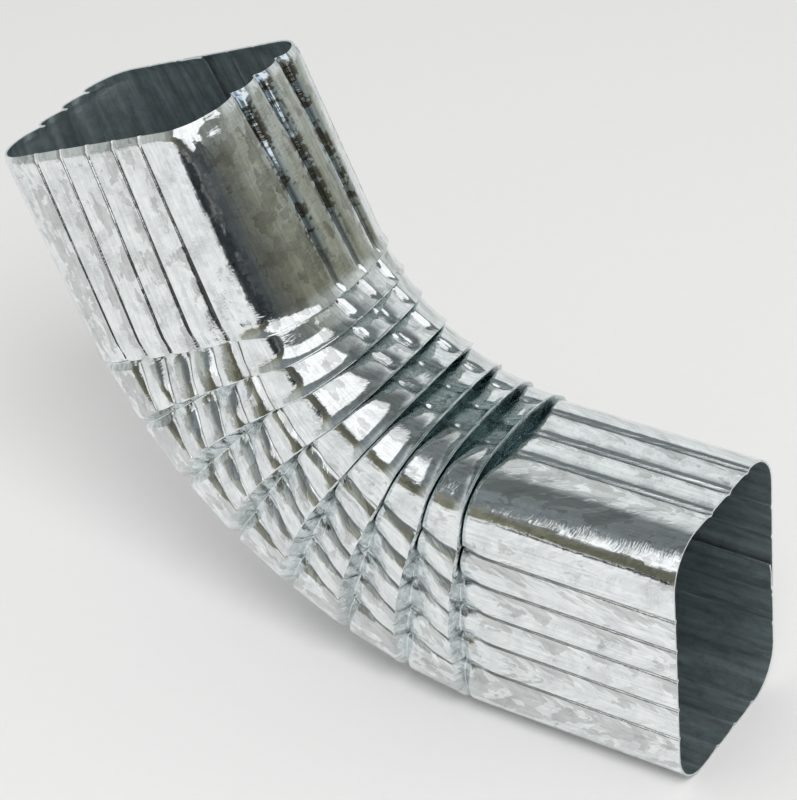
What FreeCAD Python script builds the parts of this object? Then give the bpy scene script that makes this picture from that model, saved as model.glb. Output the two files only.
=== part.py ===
import FreeCAD
import Part
import math
import os
from types import SimpleNamespace

# A downspout elbow: one galvanised sheet, corrugated lengthways, closed by a lap seam
# and bent towards its throat by crimps that fold the surplus metal inwards.
# The outlet arm runs along +X, the throat side is up, and Y goes across the narrow faces.
# The origin is the middle of the inlet opening.

# Driving dimensions in millimetres and degrees.
SIZES = {
    # plain section, outside, from the heel face to the throat face and across it
    "section_depth": 76.2,
    "section_width": 50.8,
    "corner_radius": 12.0,
    "sheet_gauge": 0.5,
    # the bend and the straight arms, measured along the heel
    "bend_angle": 68.0,
    "crimp_count": 8,
    "heel_pitch": 19.9,
    "inlet_length": 62.5,
    "outlet_length": 63.5,
    # lengthways grooves, the same on opposite faces
    "groove_width": 4.2,
    "groove_depth": 1.15,
    "groove_pitch": 9.4,
    "side_groove_count": 5,
    "face_groove_count": 3,
    "side_groove_shift": -0.8,
    "face_groove_shift": 3.3,
    "groove_fade": 5.0,
    # lap seam on the far side: height of the inner edge, and the overlap below it
    "lap_height": 38.5,
    "lap_width": 8.0,
    # crimps: how far the lip lies upstream of the mitre plane, at the heel and on the sides
    # of the first crimp, of the one that leads most and of the last
    "heel_lip_lead": 1.3,
    "first_lip_lead": 1.6,
    "most_lip_lead": 5.0,
    "last_lip_lead": 1.9,
    "most_lip_crimp": 3,
    # how far the stretches flare to their lips: all round, on the sides and on the throat
    "lip_rise": 0.6,
    "side_flare": 4.4,
    "throat_flare": 3.2,
    "throat_foot_drop": 1.2,
    # how far the bottom of the fold lies upstream, on the sides and under the throat lip
    "side_crease_lead": 2.6,
    "throat_crease_lead": 1.0,
    # how far the next stretch starts downstream: heel, sides, throat corners, throat pocket
    "heel_foot_run": 1.5,
    "side_foot_run": 2.2,
    "corner_foot_run": 0.7,
    "pocket_opening": 2.8,
    # surplus metal: what the heel folds take, and the share that the folds take elsewhere
    "heel_surplus": 0.6,
    "fold_share": 0.85,
    # how far downstream the first crimp lies on the throat, and the crimps until this is gone
    "throat_lag": 0.5,
    "lag_crimps": 2.0,
    # how far the stretches between the crimps swell at the corners and at the heel
    "corner_swell": 0.6,
    "heel_swell": 0.4,
}

# Heights of the greatest bow of the lip and of the bottom of the fold, as shares of the depth.
LIP_PEAK = 0.42
CREASE_PEAK = 0.62
# Shares of the groove depth that stay at each line of a crimp and between two crimps.
GROOVE_AT = {"lip": 0.35, "crease": 0.8, "foot": 0.9, "middle": 1.25}
# Facets in each rounded corner.
CORNER_FACETS = 6
# Samples closer than this along the outline are taken as one.
LEAST_STEP = 0.25
# A fold's inner face leaves its outer face by no more than this many gauges.
MITRE_LIMIT = 2.0

document = FreeCAD.newDocument("DownspoutElbow")
sheet = document.addObject("Spreadsheet::Sheet", "Sizes")
for row, (name, value) in enumerate(SIZES.items(), start=1):
    sheet.set("A%d" % row, name)
    sheet.set("B%d" % row, str(value))
    sheet.setAlias("B%d" % row, name)
document.recompute()
size = SimpleNamespace(**{name: float(sheet.get(name)) for name in SIZES})

crimps = int(round(size.crimp_count))
step = math.radians(size.bend_angle) / crimps
slope = math.tan(step / 2)
face_flat = size.section_width - 2 * size.corner_radius
side_flat = size.section_depth - 2 * size.corner_radius
quarter = math.pi * size.corner_radius / 2
across = FreeCAD.Vector(0, 1, 0)


# The section. A run is a length round the plain outline, from the inner edge of the lap
# down the far side, across the heel, up the near side, over the throat and back.
low_flat = size.lap_height - size.corner_radius
high_flat = side_flat - low_flat
flats = [low_flat, face_flat, side_flat, face_flat, high_flat]
whole_run = sum(flats) + 4 * quarter


def flat_start(number):
    """Run at which one of the five flat stretches starts."""
    return sum(flats[:number]) + number * quarter


def outline(run):
    """Height, place across and outward normal of the plain outline at a run."""
    place = (size.lap_height, size.section_width / 2)
    outward = (0.0, 1.0)
    heading = (-1.0, 0.0)
    for number, flat in enumerate(flats):
        length = min(run, flat)
        place = (place[0] + heading[0] * length, place[1] + heading[1] * length)
        run -= length
        if run <= 0 or number == 4:
            return place, outward
        turn = min(run, quarter) / size.corner_radius
        normal = tuple(o * math.cos(turn) + d * math.sin(turn) for o, d in zip(outward, heading))
        place = tuple(p + size.corner_radius * (n - o) for p, n, o in zip(place, normal, outward))
        run -= quarter
        if run <= 0:
            return place, normal
        outward, heading = heading, (-outward[0], -outward[1])


def pattern(count, middle):
    """Evenly pitched places about a middle."""
    first = middle - size.groove_pitch * (count - 1) / 2
    return [first + size.groove_pitch * number for number in range(int(round(count)))]


def groove_runs():
    """Runs of the bottoms of all grooves. The lap takes the place of those it would cover."""
    heights = pattern(size.side_groove_count, size.section_depth / 2 + size.side_groove_shift)
    places = pattern(size.face_groove_count, size.face_groove_shift)
    runs = [flat_start(1) + face_flat / 2 - place for place in places]
    runs += [flat_start(2) + height - size.corner_radius for height in heights]
    runs += [flat_start(3) + face_flat / 2 + place for place in places]
    reach = size.groove_width / 2
    for height in heights:
        if height + reach < size.lap_height - size.lap_width:
            runs.append(size.lap_height - height)
        if height - reach > size.lap_height:
            runs.append(flat_start(4) + size.section_depth - size.corner_radius - height)
    return runs


grooves = groove_runs()


def groove_sink(run):
    """Depth of the V groove at a run."""
    nearest = min(abs(run - groove) for groove in grooves)
    return size.groove_depth * max(0.0, 1 - 2 * nearest / size.groove_width)


def sample_runs():
    """Runs at which the section is sampled: the lap, the corners and three for each groove."""
    lap = [0.0, size.sheet_gauge, size.lap_width - size.sheet_gauge, size.lap_width]
    runs = []
    for groove in grooves:
        runs += [groove - size.groove_width / 2, groove, groove + size.groove_width / 2]
    for corner in range(1, 5):
        for facet in range(CORNER_FACETS + 1):
            run = flat_start(corner) - quarter + quarter * facet / CORNER_FACETS
            if min(abs(run - groove) for groove in grooves) > size.groove_width / 2:
                runs.append(run)
    kept = list(lap)
    for run in sorted(runs):
        if run - kept[-1] > LEAST_STEP and whole_run - run > LEAST_STEP:
            kept.append(run)
    return kept


# The crimps, numbered from the inlet. Stretch 0 is the inlet arm, and the stretch after
# crimp K has its number.
def axis(angle):
    """Direction downstream, turned up by an angle from the outlet arm."""
    return FreeCAD.Vector(math.cos(angle), 0, -math.sin(angle))


def throatward(angle):
    """Direction from the heel to the throat."""
    return FreeCAD.Vector(math.sin(angle), 0, math.cos(angle))


def stretch_angle(stretch):
    return (crimps - stretch) * step


def heel_point(crimp):
    """Where the mitre plane of a crimp meets the plain heel, the last one at the origin."""
    place = FreeCAD.Vector()
    for stretch in range(crimp, crimps):
        place -= axis(stretch_angle(stretch)) * size.heel_pitch
    return place


def mitre_point(crimp, height):
    return heel_point(crimp) + throatward(stretch_angle(crimp - 0.5)) * (height / math.cos(step / 2))


def bow(share, peak):
    """Nothing at the heel and at the throat, and one at the peak's share of the depth."""
    return math.sin(math.pi * min(1.0, max(0.0, share)) ** (math.log(0.5) / math.log(peak)))


def eased(value, start, end):
    """Rises smoothly from nothing at the start to one at the end."""
    part = min(1.0, max(0.0, (value - start) / (end - start)))
    return part * part * (3 - 2 * part)


def lag(crimp, share):
    """How far a crimp lies downstream of its mitre plane towards the throat."""
    left = max(0.0, 1 - (crimp - 1) / size.lag_crimps)
    return size.throat_lag * left * eased(share, 0.7, 1.0)


def side_lead(crimp):
    """Greatest lead of a crimp's lip on the sides."""
    if crimp < size.most_lip_crimp:
        part = (crimp - 1) / (size.most_lip_crimp - 1)
        return size.first_lip_lead + (size.most_lip_lead - size.first_lip_lead) * part
    part = (crimp - size.most_lip_crimp) / max(1.0, crimps - size.most_lip_crimp)
    return size.most_lip_lead + (size.last_lip_lead - size.most_lip_lead) * part


def lip_along(crimp, share):
    lead = size.heel_lip_lead * (1 - share) ** 2 + side_lead(crimp) * bow(share, LIP_PEAK)
    return lag(crimp, share) - lead


def crease_along(crimp, share):
    part = side_lead(crimp) / size.most_lip_lead
    lead = size.side_crease_lead * (0.5 + 0.5 * part) * bow(share, CREASE_PEAK)
    lead += size.throat_crease_lead * eased(share, 0.8, 1.0)
    return lag(crimp, share) - lead


def foot_along(crimp, share, place):
    """The fold closes to a slit at the throat corners and opens to a pocket on the throat."""
    run = size.heel_foot_run + (size.side_foot_run - size.heel_foot_run) * eased(share, 0.0, 0.3)
    run += (size.corner_foot_run - run) * eased(share, 0.6, 0.85)
    run += (size.pocket_opening - size.corner_foot_run) * throat_hump(share, place)
    return lag(crimp, share) + run


def side_hump(share):
    """Hump between the corners of a side: nothing at its ends and one in the middle."""
    start = size.corner_radius / 4
    end = size.section_depth - size.corner_radius
    part = (share * size.section_depth - start) / (end - start)
    return math.sin(math.pi * min(1.0, max(0.0, part)))


def throat_hump(share, place):
    """Hump between the throat's corners."""
    reach = size.section_width / 2 - size.corner_radius / 2
    return math.cos(math.pi / 2 * min(1.0, abs(place) / reach)) * eased(share, 0.9, 1.0)


def lip_lift(share, place):
    """How far a lip stands out from the plain section."""
    rise = size.lip_rise * (0.4 + 0.6 * eased(share, 0.7, 0.9))
    return rise + size.side_flare * side_hump(share) + size.throat_flare * throat_hump(share, place)


def foot_lift(share, place):
    return -size.throat_foot_drop * throat_hump(share, place)


def room(height):
    """Length of a stretch between its mitre planes."""
    return size.heel_pitch - 2 * height * slope


def fold_height(crimp, share):
    """Height of the fold at which a stretch and its flank take up the metal of the blank."""
    plain = room(share * size.section_depth)
    metal = plain + size.heel_surplus + size.fold_share * (size.heel_pitch - plain)
    flank = crease_along(crimp, share) - lip_along(crimp, share)
    spread = (plain - 2 * flank) / metal
    return math.sqrt(metal ** 2 - plain ** 2) / 2 * math.sqrt(1 - spread ** 2)


def on_stretch(crimp, stretch, along, height, place, outward, lift):
    """Point of the wall beside a crimp, lifted along the outward normal."""
    angle = stretch_angle(stretch)
    point = mitre_point(crimp, height) + axis(angle) * along + across * place
    return point + (throatward(angle) * outward[0] + across * outward[1]) * lift


def ring(kind, crimp, run):
    """Point of one ring of the outer face, without the lap's step."""
    (height, place), outward = outline(run)
    share = height / size.section_depth
    sink = groove_sink(run) * GROOVE_AT.get(kind, 1.0)
    stretch = crimp
    lift = 0.0
    if kind == "inlet rim":
        stretch = 0
        along = height * slope - size.inlet_length
    if kind == "inlet end":
        stretch = 0
        along = lip_along(1, share) - size.groove_fade
        lift = lip_lift(share, place) * (1 - size.groove_fade / size.inlet_length)
    if kind == "lip":
        stretch = crimp - 1
        along = lip_along(crimp, share)
        lift = lip_lift(share, place)
    if kind == "crease":
        stretch = crimp - 0.5
        along = crease_along(crimp, share)
        lift = lip_lift(share, place) - fold_height(crimp, share)
    if kind == "foot":
        along = foot_along(crimp, share, place)
        lift = foot_lift(share, place)
    if kind == "middle":
        along = (foot_along(crimp, share, place) + room(height) + lip_along(crimp + 1, share)) / 2
        lift = (foot_lift(share, place) + lip_lift(share, place)) / 2
        lift += size.corner_swell * eased(share, 0.75, 0.95) * (1 - throat_hump(share, place))
        lift += size.heel_swell * (1 - eased(share, 0.0, 0.2))
    if kind == "outlet end":
        along = foot_along(crimps, share, place) + size.groove_fade
        lift = foot_lift(share, place) * (1 - size.groove_fade / size.outlet_length)
    if kind == "outlet rim":
        along = size.outlet_length - height * slope
    return on_stretch(crimp, stretch, along, height, place, outward, lift - sink)


def ring_order():
    order = [("inlet rim", 1), ("inlet end", 1)]
    for crimp in range(1, crimps + 1):
        order += [("lip", crimp), ("crease", crimp), ("foot", crimp)]
        if crimp < crimps:
            order.append(("middle", crimp))
    return order + [("outlet end", crimps), ("outlet rim", crimps)]


# The sheet's two faces, from the rings.
def quad_normal(grid, row, column):
    """Unnormalised outward normal of one quad of the grid."""
    after = (column + 1) % len(grid[row])
    first = grid[row + 1][after] - grid[row][column]
    second = grid[row][after] - grid[row + 1][column]
    return first.cross(second)


def inward_step(grid, row, column):
    """Vector that leads one gauge inwards, lengthened where the sheet is folded."""
    normals = []
    for near_row in (row - 1, row):
        for near_column in (column - 1, column):
            if 0 <= near_row < len(grid) - 1:
                normal = quad_normal(grid, near_row, near_column % len(grid[row]))
                normals.append(normal.normalize())
    mean = FreeCAD.Vector()
    for normal in normals:
        mean += normal
    mean.normalize()
    nearest = min(mean.dot(normal) for normal in normals)
    reach = min(MITRE_LIMIT, 1 / max(nearest, 0.01))
    return mean * (-size.sheet_gauge * reach)


def layered(grid, steps, entries):
    """Grid whose columns are given ones, sunk by a number of gauges."""
    return [[grid[row][column] + steps[row][column] * layers for column, layers in entries]
            for row in range(len(grid))]


def skin(rows, first, turned):
    """Triangles of a closed tube of rings, with the index of its first point."""
    width = len(rows[0])
    triangles = []
    for row in range(len(rows) - 1):
        for column in range(width):
            after = (column + 1) % width
            low, low_next = first + row * width + column, first + row * width + after
            high, high_next = low + width, low_next + width
            pair = [(low, high, high_next), (low, high_next, low_next)]
            triangles += [(a, c, b) for a, b, c in pair] if turned else pair
    return triangles


def rim(outer, inner, width, turned):
    """Triangles of one end face, between the first points of an outer and an inner ring."""
    triangles = []
    for column in range(width):
        after = (column + 1) % width
        pair = [(outer + column, outer + after, inner + column),
                (outer + after, inner + after, inner + column)]
        triangles += [(a, c, b) for a, b, c in pair] if turned else pair
    return triangles


runs = sample_runs()
order = ring_order()
grid = [[ring(kind, crimp, run) for run in runs] for kind, crimp in order]
steps = [[inward_step(grid, row, column) for column in range(len(runs))] for row in range(len(grid))]

# Columns 0 to 3 lie on the lap. The outer layer ends at column 3 and the inner layer at column 0.
rest = range(4, len(runs))
outer_face = [(0, 0), (1, 0), (3, 0), (3, 1)] + [(column, 0) for column in rest]
inner_face = [(0, 1), (0, 2), (2, 2), (3, 2)] + [(column, 1) for column in rest]
outside = layered(grid, steps, outer_face)
inside = layered(grid, steps, inner_face)

middle_of_inlet = heel_point(1) - axis(stretch_angle(0)) * size.inlet_length
middle_of_inlet += throatward(stretch_angle(0)) * (size.section_depth / 2)
points = [point - middle_of_inlet for rows in (outside, inside) for line in rows for point in line]

width = len(outer_face)
half = width * len(order)
last = half - width
facets = skin(outside, 0, False) + skin(inside, half, True)
facets += rim(0, half, width, False) + rim(last, half + last, width, True)

shell = Part.Shape()
shell.makeShapeFromMesh((points, facets), 0.001)
solid = Part.Solid(Part.Shell(shell.Faces))
if solid.Volume < 0:
    solid.reverse()

elbow = document.addObject("Part::Feature", "elbow")
elbow.Label = "elbow"
elbow.Shape = solid
elbow.Placement = FreeCAD.Placement()
document.recompute()

for item in document.Objects:
    if "Invalid" in item.State or "Error" in item.State:
        raise RuntimeError("%s did not recompute: %s" % (item.Label, item.State))
if elbow.Shape.isNull() or not elbow.Shape.isValid() or len(elbow.Shape.Solids) != 1:
    raise RuntimeError("the elbow is not one valid solid")

os.makedirs("parts", exist_ok=True)
elbow.Shape.exportStep("parts/elbow.step")
box = elbow.Shape.BoundBox
print("elbow: %d faces, %.0f mm3, %.1f x %.1f x %.1f mm" % (
    len(elbow.Shape.Faces), elbow.Shape.Volume, box.XLength, box.YLength, box.ZLength))
print("lowest %.2f, outlet middle at x %.2f z %.2f" % (
    box.ZMin, (axis(0) * size.outlet_length - middle_of_inlet).x, size.section_depth / 2 - middle_of_inlet.z))
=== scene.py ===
"""Downspout elbow of galvanised sheet steel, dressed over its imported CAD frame."""
import math
from types import SimpleNamespace

import bpy
from mathutils import Matrix, Quaternion, Vector


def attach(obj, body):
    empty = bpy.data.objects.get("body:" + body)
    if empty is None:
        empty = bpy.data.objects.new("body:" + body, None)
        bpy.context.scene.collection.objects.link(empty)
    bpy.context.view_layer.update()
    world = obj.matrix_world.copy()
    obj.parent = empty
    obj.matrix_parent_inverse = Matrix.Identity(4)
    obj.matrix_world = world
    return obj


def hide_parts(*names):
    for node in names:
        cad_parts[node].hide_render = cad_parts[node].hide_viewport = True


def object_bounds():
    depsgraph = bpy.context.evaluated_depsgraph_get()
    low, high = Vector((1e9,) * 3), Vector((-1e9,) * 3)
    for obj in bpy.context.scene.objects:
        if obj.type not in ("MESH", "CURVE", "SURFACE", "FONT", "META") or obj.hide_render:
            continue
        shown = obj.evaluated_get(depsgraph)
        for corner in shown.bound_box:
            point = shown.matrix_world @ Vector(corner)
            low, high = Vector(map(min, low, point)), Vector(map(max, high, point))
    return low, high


bl_info = {
    "name": "Downspout elbow",
    "version": (1, 0, 0),
    "blender": (4, 5, 0),
    "location": "View3D > Sidebar > Elbow",
    "description": "Forms a crimped rectangular downspout elbow from a flat sheet and sets its stage",
    "category": "Add Mesh",
}

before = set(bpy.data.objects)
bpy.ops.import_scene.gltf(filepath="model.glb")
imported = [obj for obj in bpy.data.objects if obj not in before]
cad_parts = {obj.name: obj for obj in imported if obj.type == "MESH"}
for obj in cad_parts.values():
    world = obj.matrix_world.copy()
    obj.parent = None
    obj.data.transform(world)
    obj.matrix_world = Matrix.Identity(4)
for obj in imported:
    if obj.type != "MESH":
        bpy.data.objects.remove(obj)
cad_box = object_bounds()

MM = 0.001

# Crimps are numbered from the inlet. Greatest lead of each lip on the wide sides, in mm
# upstream of the mitre plane, and how far each lies downstream of it on the throat.
LIP_LEADS = (1.6, 3.3, 5.0, 4.4, 3.8, 3.1, 2.5, 1.9)
THROAT_SHIFTS = (0.4, 0.1, -0.8, -0.1, 0.0, 0.0, 0.2, 0.5)
# Lead of a lip at the heel, and greatest leads of a crease on the sides and on the throat, in mm.
HEEL_LEAD, SIDE_CREASE_LEAD, THROAT_CREASE_LEAD = 1.3, 2.6, 1.0
# Shares of the depth at which a lip and the bottom of a fold bow most.
LIP_PEAK, CREASE_PEAK = 0.42, 0.62
# How far a foot lies downstream of the mitre plane at the heel, low and half way up a side, and
# downstream of the lip where the fold is closed to a slit, in mm.
HEEL_GAP, LOW_GAP, HALF_GAP, SLIT_GAP = 0.7, 1.5, 0.6, 0.15
# How far the pocket on the throat opens, in mm: its first part, and what each crimp adds.
POCKET, POCKET_GROWTH = 0.4, 0.3
# Shares of the lip rise at the heel and on the throat, and how far a foot sinks there, in mm.
HEEL_RISE, THROAT_RISE, FOOT_DROP = 0.4, 0.5, 0.2
# Metal that every fold holds besides its share, in mm.
SPARE_METAL = 0.6
# How far a stretch curls out just before its lip, and over what length, in mm.
LIP_CURL, CURL_REACH = 1.5, 3.4
# Shares of the depth between which a side passes over to the throat.
SIDE_TOP = (0.7, 0.9)

# Places of the middle grooves, in mm from the middle of a side and of a face.
SIDE_GROOVE_SHIFT, FACE_GROOVE_SHIFT = -0.8, 3.3
# Share of a groove's depth that its sharp bottom takes, and that bottom's reach in mm.
SHARP_SHARE, SHARP_REACH = 0.4, 0.4
# Groove sections: reach of the gentle fall and of the steep rise in mm, and how hollow they are.
PLAIN_GROOVE = (3.4, 1.3, 1.7)
NARROW_GROOVE = (0.7, 0.5, 1.7)
SHALLOW_GROOVE = (3.6, 0.5, 1.3)
LEAF_GROOVE = (2.4, 1.0, 1.1)
PLEAT_GROOVE = (5.4, 3.6, 1.7)
RIM_WAVE = (6.2, 3.2, 1.7)
# Parts of the narrow and of the shallow section in the grooves of the arms, and the distance
# from a crimp, in mm, over which the plain section passes over to them.
NARROW_PART, SHALLOW_PART, NARROWING = 0.5, 0.16, 6.0
# Shares of the groove depth that stay at a lip, in a crease, at a foot and between two crimps,
# and what the throat adds between two crimps.
GROOVE_LIP, GROOVE_CREASE, GROOVE_FOOT, GROOVE_MIDDLE, GROOVE_THROAT = 0.35, 0.8, 0.9, 1.6, 0.6
# Reach in mm, on a side and on the throat, over which a groove's depth fades to a crimp.
GROOVE_FADE, THROAT_FADE = 5.0, 2.2
# Pleats in the folds' flanks: depth in groove depths and reach in mm, upstream and downstream.
PLEAT_BEFORE, PLEAT_BEFORE_REACH = 1.2, 5.0
PLEAT_AFTER, PLEAT_AFTER_REACH = 1.7, 7.0
# How far the metal deep in the folds is crumpled either way, on the sides and throat, in mm.
SIDE_CRUMPLE, THROAT_CRUMPLE = 0.45, 0.6
# How far the die pressed and tilted the ribs between crimps, in mm.
RIB_SET = 0.3

# Places across a groove, in mm from its bottom, where the sheet is bent.
GROOVE_COLUMNS = (-3.5, -2.4, -1.5, -0.8, -0.4, -0.18, 0.0, 0.18, 0.4, 0.8, 1.5)
CORNER_COLUMNS = 9
# Widest and narrowest gaps between two columns of the sheet, in mm.
WIDE_GAP, NARROW_GAP = 3.4, 0.2
# Columns of the lap's two layers, as shares of its width, and beside it in mm.
INNER_COLUMNS = (0.0, 0.4, 0.8, 1.0)
OUTER_COLUMNS = (0.0, 0.35, 0.7, 0.95, 1.0)
BESIDE_COLUMNS = (0.8, 1.8)
# How deep the lap's inner layer lies, in gauges. Its edge lies that much deeper again.
LAP_DEPTH = 1.4
# Points round the bends at a lip, a crease and a foot, and shares of a flank's, a stretch's
# and an arm's length at which it is divided.
BEND_POINTS = (5, 4, 4)
FLANK_ROWS = (0.5,)
STRETCH_ROWS = (0.1, 0.24, 0.38, 0.52, 0.66, 0.8, 0.92)
INLET_ROWS = (0.006, 0.014, 0.022, 0.032, 0.05, 0.08, 0.12, 0.17, 0.23, 0.3, 0.38, 0.46,
              0.54, 0.62, 0.7, 0.77, 0.83, 0.88, 0.92, 0.95, 0.98)
OUTLET_ROWS = (0.02, 0.05, 0.08, 0.12, 0.17, 0.23, 0.3, 0.38, 0.46, 0.54, 0.62, 0.7, 0.78,
               0.85, 0.91, 0.95, 0.975, 0.99)
# How deep in a fold its rows lie, from the lip over the crease to the foot; this weights the painted shade
# there.
FOLD_DEPTHS = (0.0, 0.0, 0.0, 0.25, 0.5, 0.75, 0.9, 1.0, 1.0, 0.9, 0.75, 0.6, 0.35, 0.15, 0.05)
# The inlet rim's turned edge: depth and reach in mm.
RIM_TURN, RIM_TURN_REACH = 0.7, 1.9
# The waves of the inlet rim: depth on the throat and on the heel in groove depths, reach in mm.
THROAT_WAVE, HEEL_WAVE, WAVE_REACH = 1.8, 3.6, 24.0
# Dents near the inlet rim: run across the sheet, distance from the rim, reach and depth, in mm.
DENTS = ((156.4, 2.6, 3.4, 1.0), (149.2, 2.2, 2.0, 0.5), (118.0, 16.0, 5.0, 0.15))


def linear(code):
    """Linear colour of an sRGB hex value."""
    parts = [int(code[place:place + 2], 16) / 255 for place in (1, 3, 5)]
    return tuple(c / 12.92 if c <= 0.04045 else ((c + 0.055) / 1.055) ** 2.4 for c in parts)


def length(label, text, millimetres):
    return bpy.props.FloatProperty(
        name=label, description=text, default=millimetres * MM, unit="LENGTH", precision=5)


def colour(label, text, code):
    return bpy.props.FloatVectorProperty(
        name=label, description=text, default=linear(code), size=3, subtype="COLOR", min=0, max=1)


class ElbowSizes(bpy.types.PropertyGroup):
    """Sizes of the elbow."""
    section_depth: length("Section depth", "Outside, from the heel face to the throat face", 76.2)
    section_width: length("Section width", "Outside, across the narrow faces", 50.8)
    corner_radius: length("Corner radius", "Outer radius of the section's corners", 12.0)
    sheet_gauge: length("Sheet gauge", "Thickness of the sheet", 0.5)
    bend_angle: bpy.props.FloatProperty(
        name="Bend", description="Angle between the two arms", default=math.radians(68),
        subtype="ANGLE")
    crimp_count: bpy.props.IntProperty(name="Crimps", description="Folds round the bend", default=8)
    heel_pitch: length("Heel pitch", "From crimp to crimp along the heel", 19.9)
    inlet_length: length("Inlet arm", "Length of the inlet arm along the heel", 62.5)
    outlet_length: length("Outlet arm", "Length of the outlet arm along the heel", 63.47)
    groove_width: length("Groove width", "Room that a groove needs beside the lap", 4.2)
    groove_depth: length("Groove depth", "Depth of a lengthways groove", 1.15)
    groove_pitch: length("Groove pitch", "From groove to groove", 9.4)
    lap_height: length("Lap height", "Height of the inner edge of the lap seam above the heel", 38.5)
    lap_width: length("Lap width", "Overlap of the lap seam", 8.0)
    lip_rise: length("Lip rise", "How far the lips stand out all round", 0.6)
    side_flare: length("Side flare", "How far the stretches flare to their lips on the sides", 4.35)
    throat_flare: length("Throat flare", "How far they flare on the throat", 3.2)
    fold_share: bpy.props.FloatProperty(
        name="Fold share", description="Share of the surplus metal that the folds take up",
        default=0.85, subtype="FACTOR", min=0, max=1)


class ElbowFinish(bpy.types.PropertyGroup):
    """Colours of the zinc and of the stage."""
    zinc: colour("Zinc", "Pale crystals of the zinc", "#f7fbfc")
    smooth_zinc: colour("Smoothed zinc", "Grey crystals that the die smoothed", "#dadddd")
    # Painted shade: the inside copy of the zinc is darker and bluer than the outside.
    shaded_inner_zinc: colour("Inner zinc", "Zinc inside the pipe", "#d7e3e6")
    shaded_inner_smooth: colour("Inner smoothed zinc", "Grey crystals inside the pipe", "#cad8dc")
    # Painted shade: a bluish grey that darkens the zinc deep in the folds.
    fold_shade: colour("Oxide", "Zinc dulled deep in the folds", "#93a9ad")
    # Painted reflection: a bluish strip along the grooves on the throat of the inlet arm, broken by dark
    # streaks.
    groove_reflection: colour("Bared zinc", "Bluish zinc in the scraped grooves", "#cddbe6")
    groove_streak: colour("Die marks", "Dark marks in the scraped grooves", "#6a665d")
    floor: colour("Floor", "Pale paper floor", "#e9e9e8")


def eased(value, start, end):
    """Nothing up to the start, one from the end on, and a smooth rise between them."""
    part = min(1.0, max(0.0, (value - start) / (end - start)))
    return part * part * (3 - 2 * part)


def between(first, last, part):
    """The value or point a part of the way from the first to the last."""
    return first + (last - first) * part


# The section of the blank once it is bent to a rounded rectangle. A run is a length across
# the blank, from the inner edge of the lap down the far side, over the heel, up the near
# side, over the throat and back to the lap.
def read_sizes(group):
    """Sizes as plain numbers, with what follows from them."""
    size = SimpleNamespace(**{name: getattr(group, name) for name in ElbowSizes.__annotations__})
    size.step = size.bend_angle / size.crimp_count
    size.slope = math.tan(size.step / 2)
    size.quarter = math.pi * size.corner_radius / 2
    face_flat = size.section_width - 2 * size.corner_radius
    side_flat = size.section_depth - 2 * size.corner_radius
    low_flat = size.lap_height - size.corner_radius
    size.flats = (low_flat, face_flat, side_flat, face_flat, side_flat - low_flat)
    size.starts = [sum(size.flats[:n]) + n * size.quarter for n in range(5)]
    size.whole_run = sum(size.flats) + 4 * size.quarter
    size.grooves = groove_runs(size)
    size.heels = heel_points(size)
    start = size.heels[0] - axis(size, 0) * size.inlet_length
    size.origin = start + throatward(size, 0) * (size.section_depth / 2)
    return size


def groove_runs(size):
    """Runs of the groove bottoms: five on the sides, less at the lap, and three on the faces."""
    middle = size.section_depth / 2 + SIDE_GROOVE_SHIFT * MM
    heights = [middle + size.groove_pitch * n for n in range(-2, 3)]
    places = [FACE_GROOVE_SHIFT * MM + size.groove_pitch * n for n in (-1, 0, 1)]
    runs = [size.starts[1] + size.flats[1] / 2 - place for place in places]
    runs += [size.starts[2] + height - size.corner_radius for height in heights]
    runs += [size.starts[3] + size.flats[3] / 2 + place for place in places]
    reach = size.groove_width / 2
    for height in heights:
        if height + reach < size.lap_height - size.lap_width:
            runs.append(size.lap_height - height)
        if height - reach > size.lap_height:
            runs.append(size.starts[4] + size.section_depth - size.corner_radius - height)
    return runs


def outline(size, run):
    """Height, place across and outward normal of the plain section at a run."""
    height, place = size.lap_height, size.section_width / 2
    outward, heading = (0.0, 1.0), (-1.0, 0.0)
    for number, flat in enumerate(size.flats):
        part = min(run, flat) if number < 4 else run
        height, place = height + heading[0] * part, place + heading[1] * part
        run -= flat
        if run <= 0 or number == 4:
            return height, place, outward
        turn = min(run, size.quarter) / size.corner_radius
        normal = tuple(o * math.cos(turn) + d * math.sin(turn) for o, d in zip(outward, heading))
        height += size.corner_radius * (normal[0] - outward[0])
        place += size.corner_radius * (normal[1] - outward[1])
        run -= size.quarter
        if run <= 0:
            return height, place, normal
        outward, heading = heading, (-outward[0], -outward[1])


def groove_sink(size, run, section=PLAIN_GROOVE):
    """Depth of a groove at a run: flat ribs, a gentle fall, a sharp bottom and a steep rise. The
    fall faces the heel on the near side, and the far side and the heel mirror it."""
    falling, rising, hollow = section
    run = run % size.whole_run
    along = 1 if run > size.starts[2] - size.quarter / 2 else -1
    sink = 0.0
    for groove in size.grooves:
        off = along * (run - groove) / MM
        part = max(0.0, 1 + off / falling if off < 0 else 1 - off / rising)
        bottom = max(0.0, 1 - abs(off) / SHARP_REACH)
        sink = max(sink, (1 - SHARP_SHARE) * part ** hollow + SHARP_SHARE * bottom)
    return size.groove_depth * sink


def rib_place(size, run):
    """The number of the rib that a run lies on, and its place across it from -1 to 1."""
    grooves = sorted(size.grooves)
    place = run % size.whole_run
    after = sum(groove <= place for groove in grooves)
    low = grooves[after - 1] - (size.whole_run if after == 0 else 0.0)
    high = grooves[after % len(grooves)] + (size.whole_run if after == len(grooves) else 0.0)
    return after, 2 * (place - low) / (high - low) - 1


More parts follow.
